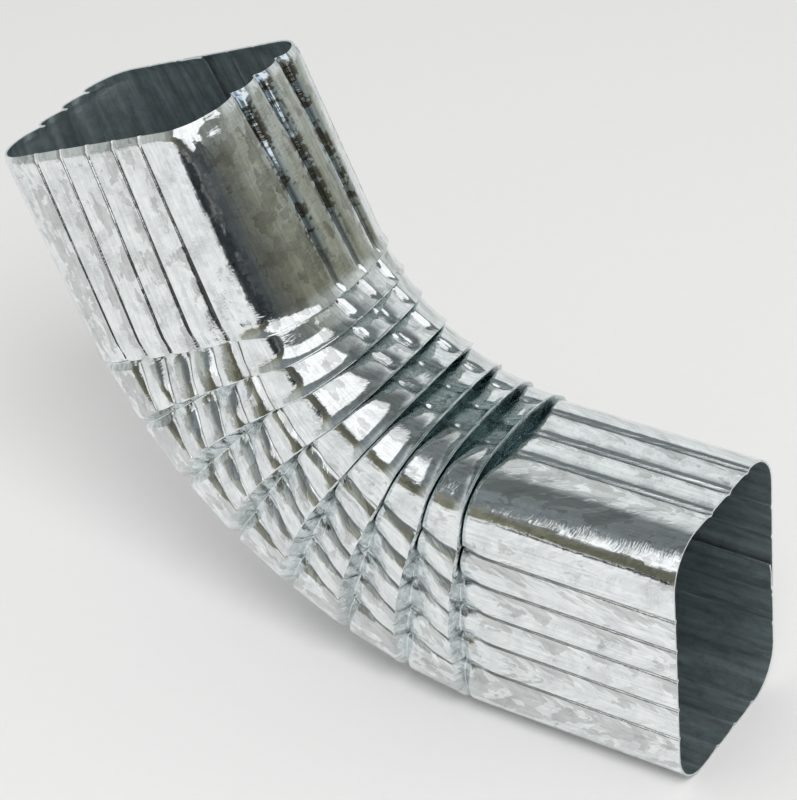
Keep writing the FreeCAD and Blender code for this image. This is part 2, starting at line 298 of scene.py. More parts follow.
def column_runs(size):
    """Runs at which the blank is divided, across its whole width with the lap."""
    lap = size.lap_width
    runs = [share * lap for share in INNER_COLUMNS] + [lap + off * MM for off in BESIDE_COLUMNS]
    for groove in size.grooves:
        runs += [groove + offset * MM for offset in GROOVE_COLUMNS]
    for corner in range(1, 5):
        for facet in range(CORNER_COLUMNS + 1):
            run = size.starts[corner] - size.quarter * (1 - facet / CORNER_COLUMNS)
            if min(abs(run - groove) for groove in size.grooves) > size.groove_width / 2:
                runs.append(run)
    ordered = sorted(runs)
    kept = [ordered[0]]
    for run in ordered[1:]:
        if run - kept[-1] > WIDE_GAP * MM:
            kept.append((run + kept[-1]) / 2)
        if run - kept[-1] > NARROW_GAP * MM and run < size.whole_run - 2 * NARROW_GAP * MM:
            kept.append(run)
    return kept + [size.whole_run + share * lap for share in OUTER_COLUMNS]


# The bend. Stretch 0 is the inlet arm, and the stretch after crimp K has its number.
def axis(size, stretch):
    """Direction of the flow in a stretch."""
    angle = (size.crimp_count - stretch) * size.step
    return Vector((math.cos(angle), 0, -math.sin(angle)))


def throatward(size, stretch):
    """Direction from the heel to the throat in a stretch."""
    angle = (size.crimp_count - stretch) * size.step
    return Vector((math.sin(angle), 0, math.cos(angle)))


def heel_points(size):
    """Where the mitre plane of each crimp meets the heel, the last one at the origin."""
    places = [Vector()]
    for stretch in range(size.crimp_count - 1, 0, -1):
        places.insert(0, places[0] - axis(size, stretch) * size.heel_pitch)
    return places


def bow(share, peak):
    """Nothing at the heel and at the throat, and one at the peak's share of the depth."""
    return math.sin(math.pi * min(1.0, max(0.0, share)) ** (math.log(0.5) / math.log(peak)))


def throat_hump(size, share, place):
    """One in the middle of the throat face, and nothing at its corners and below it."""
    reach = size.section_width / 2 - size.corner_radius / 2
    return math.cos(math.pi / 2 * min(1.0, abs(place) / reach)) * eased(share, 0.9, 1.0)


def side_hump(size, share):
    """One half way up a side, and nothing at its two corners."""
    start, end = size.corner_radius / 2, size.section_depth - size.corner_radius
    part = (share * size.section_depth - start) / (end - start)
    return math.sin(math.pi * min(1.0, max(0.0, part)))


def lip_lift(size, share, place):
    """How far a lip stands out from the plain section."""
    lift = size.lip_rise * between(HEEL_RISE, THROAT_RISE, eased(share, *SIDE_TOP))
    lift += size.side_flare * side_hump(size, share)
    return lift + size.throat_flare * throat_hump(size, share, place)


def throat_shift(crimp, share):
    """How far a crimp lies downstream of its mitre plane."""
    return THROAT_SHIFTS[crimp - 1] * MM * eased(share, 0.7, 1.0)


def lip_along(crimp, share):
    """Where a lip lies along the elbow, from its mitre plane."""
    lead = HEEL_LEAD * MM * (1 - share) ** 2 + LIP_LEADS[crimp - 1] * MM * bow(share, LIP_PEAK)
    return throat_shift(crimp, share) - lead


def crease_along(crimp, share):
    """Where the bottom of a fold lies along the elbow, from its mitre plane."""
    part = between(0.5, 1.0, LIP_LEADS[crimp - 1] / max(LIP_LEADS))
    lead = SIDE_CREASE_LEAD * part * bow(share, CREASE_PEAK)
    lead += THROAT_CREASE_LEAD * eased(share, 0.8, 1.0)
    return throat_shift(crimp, share) - lead * MM


def foot_along(size, crimp, share, place):
    """Where the foot of a fold lies. The fold gapes on the sides, closes to a slit at the throat
    corners, where its foot follows the lip, and opens to a pocket on the throat."""
    gap = between(HEEL_GAP, LOW_GAP, eased(share, 0.02, 0.2))
    gap += (HALF_GAP - LOW_GAP) * eased(share, 0.25, 0.5)
    gaping = throat_shift(crimp, share) + gap * MM
    closed = lip_along(crimp, share) + SLIT_GAP * MM
    pocket = (POCKET + POCKET_GROWTH * crimp) * MM * throat_hump(size, share, place)
    return between(gaping, closed, eased(share, 0.48, 0.72)) + pocket


def fold_height(size, crimp, share):
    """Height of the fold at which a stretch and its flank take up the metal of the blank."""
    plain = size.heel_pitch - 2 * share * size.section_depth * size.slope
    metal = plain + SPARE_METAL * MM + size.fold_share * (size.heel_pitch - plain)
    flank = crease_along(crimp, share) - lip_along(crimp, share)
    spread = (plain - 2 * flank) / metal
    return math.sqrt(metal ** 2 - plain ** 2) / 2 * math.sqrt(1 - spread ** 2)


def lip_curl(size, share, place):
    """How far a stretch curls out just before its lip, at the throat and its corners. In the
    middle and at the far corner it curls half as much as at the near one."""
    curl = LIP_CURL * between(1.0, 0.5, throat_hump(size, share, place))
    return curl * between(1.0, 0.5, eased(place, 0.0, 20 * MM)) * MM * eased(share, 0.72, 0.88)


def section_key(size, crimp, stretch, along, where, lift, groove):
    """A bend line's point on one column, with the wall's normal and its share of the groove."""
    height, place, outward = where
    mitre = throatward(size, crimp - 0.5) * (height / math.cos(size.step / 2))
    normal = throatward(size, stretch) * outward[0] + Vector((0, outward[1], 0))
    point = size.heels[crimp - 1] + mitre + axis(size, stretch) * along
    point += Vector((0, place, 0)) - size.origin
    return SimpleNamespace(point=point + normal * lift, normal=normal, groove=groove)


def column_keys(size, where):
    """The bend lines' points on one column: a rim, lip, crease and foot of each crimp, a rim."""
    height, place, outward = where
    share = height / size.section_depth
    low = -FOOT_DROP * MM * eased(share, *SIDE_TOP)
    high = lip_lift(size, share, place) + lip_curl(size, share, place)
    last = size.crimp_count
    start, end = height * size.slope - size.inlet_length, size.outlet_length - height * size.slope
    keys = [section_key(size, 1, 0, start, where, 0.0, 1.0)]
    for crimp in range(1, last + 1):
        lip, crease = lip_along(crimp, share), crease_along(crimp, share)
        foot = foot_along(size, crimp, share, place)
        sunk = high - fold_height(size, crimp, share)
        keys.append(section_key(size, crimp, crimp - 1, lip, where, high, GROOVE_LIP))
        keys.append(section_key(size, crimp, crimp - 0.5, crease, where, sunk, GROOVE_CREASE))
        keys.append(section_key(size, crimp, crimp, foot, where, low, GROOVE_FOOT))
    keys.append(section_key(size, last, last, end, where, 0.0, 1.0))
    return keys


def lap_sink(size, run):
    """The inner layer of the lap lies more than a gauge deeper, its edge stands off as much
    again, and beside the lap it rises to the plain wall."""
    under = 1 - eased(run, size.lap_width, size.lap_width + BESIDE_COLUMNS[-1] * MM)
    edge = 1 - eased(run, 0.0, INNER_COLUMNS[1] * size.lap_width)
    return LAP_DEPTH * size.sheet_gauge * (under + edge)


def rim_sink(size, run, distance):
    """The inlet rim's turned edge, the dents beside it and the ribs' deeper waves there."""
    sink = RIM_TURN * MM * max(0.0, 1 - distance / (RIM_TURN_REACH * MM))
    for middle, from_rim, reach, depth in DENTS:
        off = math.hypot(run - middle * MM, distance - from_rim * MM) / (reach * MM)
        sink += depth * MM * math.exp(-off * off * 2)
    facing = outline(size, run % size.whole_run)[2][0]
    wave = groove_sink(size, run, RIM_WAVE) * (1 - eased(distance, 0.0, WAVE_REACH * MM))
    return sink + wave * (THROAT_WAVE * max(0.0, facing) + HEEL_WAVE * max(0.0, -facing))


class Column:
    """One column of the sheet: its keys, and the wall between them. Every third segment is a
    stretch or an arm, and the two after it are the flanks of a fold."""

    def __init__(self, size, run):
        self.size = size
        self.run = run
        self.last = 3 * size.crimp_count
        where = outline(size, run % size.whole_run)
        self.share = where[0] / size.section_depth
        self.side = eased(self.share, 0.1, 0.2) * (1 - eased(self.share, 0.86, 0.93))
        self.hump = throat_hump(size, self.share, where[1])
        self.curl = lip_curl(size, self.share, where[1])
        self.keys = column_keys(size, where)
        narrow = NARROW_PART * groove_sink(size, run, NARROW_GROOVE)
        narrow += SHALLOW_PART * groove_sink(size, run, SHALLOW_GROOVE)
        self.plain = groove_sink(size, run)
        self.narrow = between(self.plain, narrow, self.side)
        self.leaf = between(self.plain, groove_sink(size, run, LEAF_GROOVE), self.side)
        self.pleat = self.side * groove_sink(size, run, PLEAT_GROOVE)
        self.rib, self.across = rib_place(size, run)
        self.layer = lap_sink(size, run) if run < size.whole_run / 2 else 0.0

    def spread(self, number):
        """Straight length of a segment."""
        return (self.keys[number + 1].point - self.keys[number].point).length

    def wall(self, number, part):
        """Point of the wall at a part of the way from one key to the next."""
        start, end = self.keys[number], self.keys[number + 1]
        normal = start.normal.lerp(end.normal, part).normalized()
        if number % 3 == 0:
            sink = self.stretch_sink(number, part)
            sink += self.stretch_section(number, part) * self.stretch_groove(number, part)
        else:
            sink = self.flank_sink(number, part)
            sink += self.plain * between(start.groove, end.groove, part)
        return start.point.lerp(end.point, part) - normal * (self.layer + sink)

    def flank_sink(self, number, part):
        """The metal deep in a fold is pleated, and crumpled, most of all on the throat."""
        pleat = self.pleat * (PLEAT_BEFORE if number % 3 == 1 else PLEAT_AFTER)
        amount = SIDE_CRUMPLE * self.side + THROAT_CRUMPLE * eased(self.share, 0.84, 0.98)
        run = self.run / MM
        wave = math.sin(2.3 * run + 3.1 * number) + math.sin(0.9 * run + 7 * part)
        return pleat + 0.5 * amount * MM * wave * math.sin(math.pi * part)

    def stretch_sink(self, number, part):
        """How far a stretch lies below its plain shape, with its pleats and its curl."""
        gap = self.spread(number)
        done, left = part * gap, (1 - part) * gap
        sink = 0.0
        if number > 0:
            sink += PLEAT_AFTER * self.pleat * (1 - eased(done, 0.0, PLEAT_AFTER_REACH * MM))
        if number < self.last:
            sink += PLEAT_BEFORE * self.pleat * (1 - eased(left, 0.0, PLEAT_BEFORE_REACH * MM))
            late = max(0.0, 1 - (1 - part) / min(0.5, CURL_REACH * MM / gap))
            sink += self.curl * (part - late ** 2)
        if number == 0:
            return sink + rim_sink(self.size, self.run, done)
        if number < self.last:
            sink += self.rib_set(number // 3) * math.sin(math.pi * part)
        return sink

    def stretch_section(self, number, part):
        """The groove's section, narrow on the arms and like a leaf's fold between two crimps."""
        if number == 0:
            part = 1 - part
        elif number < self.last:
            return between(self.plain, self.leaf, math.sin(math.pi * part))
        off = part * self.spread(number)
        return between(self.plain, self.narrow, eased(off, 0.0, NARROWING * MM))

    def stretch_groove(self, number, part):
        """Share of the groove's depth on a stretch, which fades to that of each end."""
        start, end = self.keys[number].groove, self.keys[number + 1].groove
        middle = GROOVE_MIDDLE + GROOVE_THROAT * self.hump
        if number in (0, self.last):
            middle = 1.0 + GROOVE_THROAT / 2 * self.hump
        fade = min(0.45, between(GROOVE_FADE, THROAT_FADE, self.hump) * MM / self.spread(number))
        groove = between(middle, start, 1 - eased(part, 0.0, fade))
        return groove + (end - middle) * eased(part, 1 - fade, 1.0)

    def rib_set(self, stretch):
        """The crimping die pressed and tilted each rib of each short stretch a little its own way."""
        pressed = math.sin(12.9 * stretch + 78.2 * self.rib) - 0.3
        tilted = math.sin(39.3 * stretch + 11.1 * self.rib)
        flat = 1 - self.across ** 2
        return RIB_SET * MM * flat * (pressed + tilted * self.across) * (self.side + self.hump)

    def bend_reaches(self):
        """Reach in mm of the bends at a lip, a crease and a foot. The stretches end boxy at the
        heel, and the folds are sharp on the sides and the throat."""
        heel = 1 - eased(self.share, 0.03, 0.25)
        return 0.4 + 0.7 * heel, 0.5, 0.4 + 0.3 * heel + 0.5 * self.hump

    def bend(self, number, reach, count):
        """Points round the bend at a key, and the parts of the segments that it uses up."""
        before = min(0.45, reach / self.spread(number - 1))
        after = min(0.45, reach / self.spread(number))
        first, middle = self.wall(number - 1, 1 - before), self.wall(number, 0.0)
        last = self.wall(number, after)
        points = []
        for index in range(count):
            t = index / (count - 1)
            points.append(first * (1 - t) ** 2 + middle * (2 * t * (1 - t)) + last * t ** 2)
        return points, before, after

    def rows(self, number):
        """Shares of a segment's length at which it is divided."""
        if number == 0:
            return INLET_ROWS
        if number == self.last:
            return OUTLET_ROWS
        return STRETCH_ROWS if number % 3 == 0 else FLANK_ROWS

    def points(self):
        """All points of the column, from the inlet rim to the outlet rim."""
        placed = [self.wall(0, 0.0)]
        used = 0.0
        for number in range(self.last + 1):
            bend, before, after = [self.wall(number, 1.0)], 0.0, 0.0
            if number < self.last:
                reach, count = self.bend_reaches()[number % 3], BEND_POINTS[number % 3]
                bend, before, after = self.bend(number + 1, reach * MM, count)
            for row in self.rows(number):
                placed.append(self.wall(number, used + (1 - before - used) * row))
            placed += bend
            used = after
        return placed


def fold_depth(size, row):
    """How deep in a fold a row of the blank lies, from 0 to 1."""
    fold, place = divmod(row - 1 - len(INLET_ROWS), len(FOLD_DEPTHS) + len(STRETCH_ROWS))
    if 0 <= fold < size.crimp_count and place < len(FOLD_DEPTHS):
        return FOLD_DEPTHS[place]
    return 0.0


# Sizes of the zinc's torn edges, flecks, crystals, worn areas and shallow waves, in mm.
TEAR, FLECK, CRYSTAL, WEAR, WAVE = 1.5, 1.5, 3.6, 7.0, 13.0
# Length and spacing of the rolls' hatching, which is drawn coarser than it is, and length of the
# die's lines, in mm.
HATCH_LENGTH, HATCH_GAP, DIE_LINE_LENGTH = 1.8, 0.55, 30.0
# The grooves with a painted bluish reflection and dark streaks: the first one's run, half their pitch,
# and where the painting ends and where it is whole, from a groove's bottom, across the throat and along the
# arm, in mm.
SCRAPED_RUN, HALF_PITCH, SCRAPE_EDGE = 169.35, 4.7, (2.6, 1.7)
SCRAPE_START, SCRAPE_END = (164.0, 166.0), (54.0, 40.0)
# How strongly the painted shade darkens the zinc deep in a fold on a side, against on the throat.
SIDE_FOLD_SHADE = 0.22


def add(tree, kind, inputs=None, **settings):
    """Adds a node with its settings, and sets or links its inputs."""
    node = tree.nodes.new("ShaderNode" + kind)
    for name, value in settings.items():
        setattr(node, name, value)
    for name, value in (inputs or {}).items():
        if isinstance(value, bpy.types.NodeSocket):
            tree.links.new(value, node.inputs[name])
        else:
            node.inputs[name].default_value = value
    return node


def new_material(name):
    material = bpy.data.materials.new(name)
    material.use_nodes = True
    material.node_tree.nodes.clear()
    return material, material.node_tree


def torn_crystals(tree, blank, tear):
    """Crystals of the zinc with torn edges: random colours of the large ones and of the flecks."""
    torn = add(tree, "VectorMath", {0: tear, 1: (-0.5, -0.5, -0.5)}, operation="ADD")
    torn = add(tree, "VectorMath", {
        0: torn.outputs[0], 1: (2.0 * MM, 3.2 * MM, 0.0)}, operation="MULTIPLY")
    place = add(tree, "VectorMath", {0: blank, 1: torn.outputs[0]}, operation="ADD").outputs[0]
    place = add(tree, "Mapping", {
        "Vector": place, "Scale": (1.0, 0.7, 1.0), "Rotation": (0, 0, 0.3)}).outputs[0]
    large = add(tree, "TexVoronoi", {"Vector": place, "Scale": 1 / (CRYSTAL * MM)}, distance="MANHATTAN")
    small = add(tree, "TexVoronoi", {"Vector": place, "Scale": 1 / (FLECK * MM)}, distance="MANHATTAN")
    return large.outputs["Color"], add(tree, "SeparateColor", {"Color": small.outputs["Color"]})


def smoothed_crystals_and_groove_shade(tree, crystals, flecks):
    """One on the crystals that the die smoothed; more of them on one side of each groove is painted shade.
    """
    crystal = add(tree, "SeparateColor", {"Color": crystals})
    rib = add(tree, "Attribute", attribute_name="rib").outputs["Fac"]
    # Painted shade: the chance of grey patches grows towards one side of each groove.
    beside = add(tree, "MapRange", {
        "Value": rib, "From Min": -0.2, "From Max": 1.0, "To Min": -0.3, "To Max": 0.5})
    chance = add(tree, "Math", {0: crystal.outputs[0], 1: beside.outputs["Result"]}, operation="ADD")
    chance = add(tree, "Math", {
        0: flecks.outputs[0], 1: 0.35, 2: chance.outputs[0]}, operation="MULTIPLY_ADD")
    return add(tree, "MapRange", {
        "Value": chance.outputs[0], "From Min": 0.84, "From Max": 0.92}).outputs["Result"]


def roll_hatching(tree, blank, wear):
    """Fine marks across the sheet that the rolls left, worn off in places."""
    across = add(tree, "Mapping", {
        "Vector": blank, "Scale": (1 / (HATCH_LENGTH * MM), 1 / (HATCH_GAP * MM), 1.0)})
    rolls = add(tree, "TexNoise", {"Vector": across.outputs[0], "Scale": 1.0, "Detail": 2.0})
    shown = add(tree, "MapRange", {
        "Value": wear, "From Min": 0.46, "From Max": 0.66, "To Min": 0.15, "To Max": 1.0})
    return add(tree, "Math", {
        0: rolls.outputs["Fac"], 1: shown.outputs["Result"]}, operation="MULTIPLY").outputs[0]


def die_lines(tree, blank, gap):
    """Lines along the sheet that the die drew."""
    along = add(tree, "Mapping", {
        "Vector": blank, "Scale": (1 / (gap * MM), 1 / (DIE_LINE_LENGTH * MM), 1.0)})
    return add(tree, "TexNoise", {
        "Vector": along.outputs[0], "Scale": 1.0, "Detail": 4.0}).outputs["Fac"]


def zinc_tone(tree, look, smoothed, hatching, lines, flecks):
    """Colour of the zinc: pale and smoothed crystals, with painted shade as more grey patches on one side
    of each groove, shaded by the hatching and the lines.
    """
    tone = add(tree, "Mix", {
        0: smoothed, 6: (*look.zinc, 1), 7: (*look.smooth, 1)}, data_type="RGBA").outputs[2]
    shade = 1.0
    for value, start, end, first, last in (
            (hatching, 0.1, 0.6, 1.0, 0.8),
            (lines, 0.3, 0.7, 1 - look.streaks, 1 + 0.5 * look.streaks),
            (flecks.outputs[1], 0.0, 1.0, 0.89, 1.04)):
        part = add(tree, "MapRange", {
            "Value": value, "From Min": start, "From Max": end, "To Min": first, "To Max": last})
        shade = add(tree, "Math", {0: shade, 1: part.outputs["Result"]}, operation="MULTIPLY").outputs[0]
    return add(tree, "VectorMath", {0: tone, "Scale": shade}, operation="SCALE").outputs[0]


def reflected_groove_tone(tree, look, blank, tone, tear, wear):
    """Paints the grooves on the throat of the inlet arm with a bluish reflection, broken by dark streaks.
    """
    spot = add(tree, "SeparateXYZ", {"Vector": blank})
    apart = add(tree, "Math", {0: spot.outputs[0], 1: SCRAPED_RUN * MM}, operation="SUBTRACT")
    apart = add(tree, "Math", {
        0: apart.outputs[0], 1: HALF_PITCH * MM}, operation="PINGPONG").outputs[0]
    # Mask of the painted groove reflection and its dark streaks.
    scrape = look.scraped
    for place, (ends, whole) in (
            (apart, SCRAPE_EDGE), (spot.outputs[1], SCRAPE_END), (spot.outputs[0], SCRAPE_START)):
        part = add(tree, "MapRange", {"Value": place, "From Min": ends * MM, "From Max": whole * MM})
        scrape = add(tree, "Math", {0: scrape, 1: part.outputs["Result"]}, operation="MULTIPLY").outputs[0]
    both = add(tree, "Math", {0: tear, 1: wear}, operation="ADD").outputs[0]
    dark = add(tree, "MapRange", {"Value": both, "From Min": 0.97, "From Max": 1.05}).outputs["Result"]
    marks = add(tree, "Mix", {0: dark, 6: (*look.groove_reflection, 1), 7: (*look.groove_streak, 1)}, data_type="RGBA")
    return add(tree, "Mix", {0: scrape, 6: tone, 7: marks.outputs[2]}, data_type="RGBA").outputs[2]


def askew_facing(tree, crystals):
    """Normal of the surface where each crystal lies a little askew."""
    askew = add(tree, "VectorMath", {0: crystals, 1: (-0.5, -0.5, -0.5)}, operation="ADD")
    askew = add(tree, "VectorMath", {0: askew.outputs[0], "Scale": 0.045}, operation="SCALE")
    facing = add(tree, "NewGeometry").outputs["Normal"]
    facing = add(tree, "VectorMath", {0: facing, 1: askew.outputs[0]}, operation="ADD")
    return add(tree, "VectorMath", {0: facing.outputs[0]}, operation="NORMALIZE").outputs[0]


def galvanised_material(name, look):
    """Hot-dip galvanised sheet. The zinc froze in crystals a few mm across, and the die smoothed
    some of them, which show as torn grey patches on the pale zinc; more of these patches on one
    side of each groove are painted shade. The rolls left hatching across the sheet, and the die
    left fine lines along it. Both break up the edges of what the sheet mirrors. Deep in the folds
    the colour is darkened to a bluish grey as painted shade, and the bump is crumpled there. On the
    throat of the inlet arm the grooves get a painted bluish reflection with dark streaks."""
    material, tree = new_material(name)
    blank = add(tree, "UVMap", uv_map="blank").outputs["UV"]
    tear = add(tree, "TexNoise", {"Vector": blank, "Scale": 1 / (TEAR * MM), "Detail": 5.0})
    wear = add(tree, "TexNoise", {
        "Vector": blank, "Scale": 1 / (WEAR * MM), "Detail": 3.0}).outputs["Fac"]
    waves = add(tree, "TexNoise", {
        "Vector": blank, "Scale": 1 / (WAVE * MM), "Detail": 1.0}).outputs["Fac"]
    # The fold attribute weights the painted shade deep in the folds, and the crumpled bump there.
    fold = add(tree, "Attribute", attribute_name="fold").outputs["Fac"]
    crystals, flecks = torn_crystals(tree, blank, tear.outputs["Color"])
    tear = tear.outputs["Fac"]
    smoothed = smoothed_crystals_and_groove_shade(tree, crystals, flecks)
    hatching = roll_hatching(tree, blank, wear)
    lines = die_lines(tree, blank, look.line_gap)
    tone = zinc_tone(tree, look, smoothed, hatching, lines, flecks)
    # Painted reflection in the grooves of the inlet arm's throat.
    if look.scraped:
        tone = reflected_groove_tone(tree, look, blank, tone, tear, wear)
    # Painted shade: deep in the folds the tone turns to the darker bluish fold colour.
    tone = add(tree, "Mix", {0: fold, 6: tone, 7: (*look.fold_shade, 1)}, data_type="RGBA").outputs[2]
    facing = askew_facing(tree, crystals)
    # what stands out, how strongly it shows, and its height in mm
    for relief, strength, height in (
            (waves, look.relief, 0.12), (hatching, look.relief, 0.15), (lines, look.relief, 0.04),
            (tear, look.relief, 0.03), (tear, fold, 1.1)):
        facing = add(tree, "Bump", {
            "Height": relief, "Strength": strength, "Distance": height * MM,
            "Normal": facing}).outputs[0]
    steel = add(tree, "BsdfPrincipled", {
        "Base Color": tone, "Metallic": look.metallic, "Roughness": look.roughness, "Normal": facing})
    add(tree, "OutputMaterial", {"Surface": steel.outputs["BSDF"]})
    return material


def edge_material(name, tint):
    """Sheared steel edge: bare steel between two skins of zinc, nicked by the shears."""
    material, tree = new_material(name)
    blank = add(tree, "UVMap", uv_map="blank").outputs["UV"]
    nicks = add(tree, "TexNoise", {"Vector": blank, "Scale": 1 / (1.5 * MM), "Detail": 2.0})
    dark = tuple(c * 0.5 for c in tint)
    tone = add(tree, "Mix", {0: nicks.outputs["Fac"], 6: (*tint, 1), 7: (*dark, 1)}, data_type="RGBA")
    steel = add(tree, "BsdfPrincipled", {
        "Base Color": tone.outputs[2], "Metallic": 1.0, "Roughness": 0.4})
    add(tree, "OutputMaterial", {"Surface": steel.outputs["BSDF"]})
    return material


def paper_material(name, tint):
    """Matt background paper: an even pale surface with the faintest cloud of its pulp, about
    4 mm from cloud to cloud."""
    material, tree = new_material(name)
    place = add(tree, "TexCoord").outputs["Object"]
    pulp = add(tree, "TexNoise", {"Vector": place, "Scale": 260.0, "Detail": 3.0})
    shade = tuple(c * 0.98 for c in tint)
    tone = add(tree, "Mix", {0: pulp.outputs["Fac"], 6: (*tint, 1), 7: (*shade, 1)}, data_type="RGBA")
    paper = add(tree, "BsdfPrincipled", {
        "Base Color": tone.outputs[2], "Roughness": 0.85, "Specular IOR Level": 0.2})
    add(tree, "OutputMaterial", {"Surface": paper.outputs["BSDF"]})
    return material


def mirrored_material(name, code, strength):
    """An even surface of the surroundings, bright or dark, that only the metal mirrors."""
    material, tree = new_material(name)
    glow = add(tree, "Emission", {"Color": (*linear(code), 1), "Strength": strength})
    add(tree, "OutputMaterial", {"Surface": glow.outputs["Emission"]})
    return material


DOME_RADIUS = 0.62
# Colours of the room by bearing, level with the table and higher up: 0 is west, 0.25 is
# towards the near side, 0.5 is beyond the outlet and 0.75 is behind the far side.
ROOM_LOW = ((0.0, "#dadddd"), (0.13, "#b0b3ae"), (0.17, "#8e8d7c"), (0.2, "#6d6b5a"),
            (0.25, "#4c4e49"), (0.33, "#4a4f52"), (0.44, "#67675b"), (0.53, "#7d7c6b"),
            (0.62, "#818271"), (0.72, "#b8bbb6"), (0.8, "#dcdedd"), (1.0, "#dadddd"))
ROOM_HIGH = ((0.0, "#d2d6d7"), (0.1, "#868c8f"), (0.2, "#757c7e"), (0.3, "#848a8b"),
             (0.42, "#70746f"), (0.55, "#a4a79f"), (0.66, "#ced2d0"), (0.85, "#e9eceb"),
             (1.0, "#d2d6d7"))
CEILING = "#757a7a"
# Shares of the dome's height over which the low colours pass to the high ones, and to the ceiling.
HIGHER, TOP = (0.25, 0.48), (0.74, 0.9)


def room_material(name):
    """The room round the table, as the metal shows it: a pale wall behind and to the left, a
    dark room in front and to the right, and a dim ceiling."""
    material, tree = new_material(name)
    place = add(tree, "SeparateXYZ", {"Vector": add(tree, "TexCoord").outputs["Object"]})
    bearing = add(tree, "Math", {0: place.outputs[1], 1: place.outputs[0]}, operation="ARCTAN2")
    turn = add(tree, "MapRange", {
        "Value": bearing.outputs[0], "From Min": -math.pi, "From Max": math.pi}).outputs["Result"]
    tones = []
    for stops in (ROOM_LOW, ROOM_HIGH):
        band = add(tree, "ValToRGB", {"Fac": turn})
        elements = band.color_ramp.elements
        while len(elements) < len(stops):
            elements.new(0.5)
        for element, (part, code) in zip(elements, stops):
            element.position = part
            element.color = (*linear(code), 1)
        tones.append(band.outputs["Color"])
    tones.append((*linear(CEILING), 1))
    level = add(tree, "Math", {0: place.outputs[2], 1: DOME_RADIUS}, operation="DIVIDE").outputs[0]
    tone = tones[0]
    for (start, end), upper in zip((HIGHER, TOP), tones[1:]):
        rise = add(tree, "MapRange", {"Value": level, "From Min": start, "From Max": end})
        tone = add(tree, "Mix", {0: rise.outputs["Result"], 6: tone, 7: upper}, data_type="RGBA").outputs[2]
    glow = add(tree, "Emission", {"Color": tone, "Strength": 1.0})
    add(tree, "OutputMaterial", {"Surface": glow.outputs["Emission"]})
    return material


def deselect():
    bpy.ops.object.select_all(action="DESELECT")


